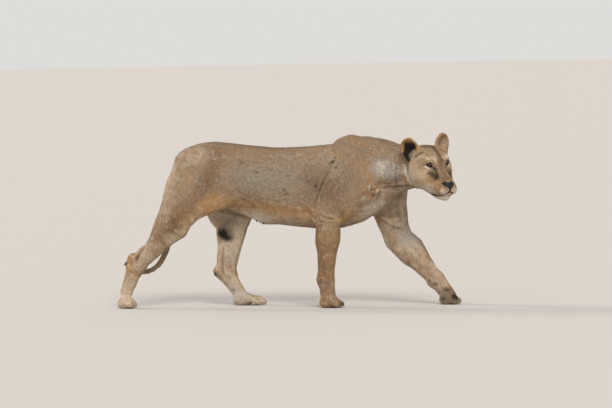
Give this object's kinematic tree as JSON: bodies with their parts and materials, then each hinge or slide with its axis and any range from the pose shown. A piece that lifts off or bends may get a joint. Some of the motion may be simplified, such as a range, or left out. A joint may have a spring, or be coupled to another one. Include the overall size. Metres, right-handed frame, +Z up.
{
  "type": "lioness model",
  "caption": "Life-size still model of a lioness in mid-stride, head low and turned aside, tail hanging behind her hock.",
  "frame": {"origin": "on the floor, under the middle of her bounding box", "axes": "+X the way she walks, +Y her left side, +Z up"},
  "size_m": [1.9556, 0.4654, 0.9471],
  "materials": {
    "coat": "short tawny fur, paler below",
    "nose_skin": "bare damp skin with a fine grain",
    "eye": "amber eye, wet and clear"
  },
  "bodies": {
    "root": {"head": "coat", "lower_jaw": "coat", "nose": "nose_skin", "eye_left": "eye", "eye_right": "eye", "ear_left": "coat", "ear_right": "coat", "neck": "coat", "chest": "coat", "belly": "coat", "rump": "coat", "tail_root": "coat", "tail_middle": "coat", "tail_tip": "coat", "upper_arm_left": "coat", "upper_arm_right": "coat", "forearm_left": "coat", "forearm_right": "coat", "fore_paw_left": "coat", "fore_paw_right": "coat", "thigh_left": "coat", "thigh_right": "coat", "shank_left": "coat", "shank_right": "coat", "hind_foot_left": "coat", "hind_foot_right": "coat", "hind_paw_left": "coat", "hind_paw_right": "coat"}
  },
  "joints": []
}
